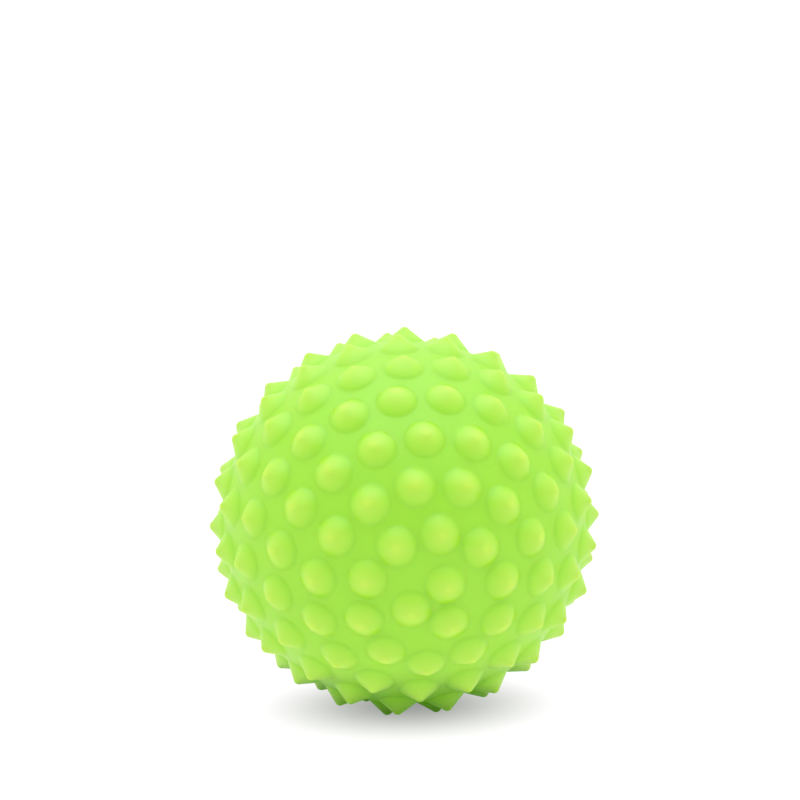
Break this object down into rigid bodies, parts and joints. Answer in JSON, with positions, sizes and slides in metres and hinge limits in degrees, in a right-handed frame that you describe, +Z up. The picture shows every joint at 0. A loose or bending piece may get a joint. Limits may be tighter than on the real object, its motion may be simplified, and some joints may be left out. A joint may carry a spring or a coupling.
{
  "type": "sensory ball",
  "caption": "Soft hollow ball covered in blunt rounded spikes, moulded in two bonded halves, with a pull-out air plug at the back; a grasping and massage toy for babies.",
  "frame": {"origin": "on the floor, straight below the ball's centre", "axes": "+Z up from the floor; the front pole of the spike pattern faces -Y, turned 9 degrees towards +X and tilted about 17 degrees down; +X to the right of someone who looks along +Y"},
  "size_m": [0.1, 0.0998, 0.099],
  "materials": {
    "skin": "satin lime green soft moulding",
    "plug": "satin lime green, a little deeper and firmer than the skin"
  },
  "bodies": {
    "ball": {"front_half": "skin", "back_half": "skin"},
    "plug": {"air_plug": "plug"}
  },
  "joints": [
    {"name": "plug_pull", "type": "slide", "parent": "ball", "child": "plug", "axis": [-0.1499, 0.9462, 0.2866], "range_m": [0, 0.01]}
  ]
}
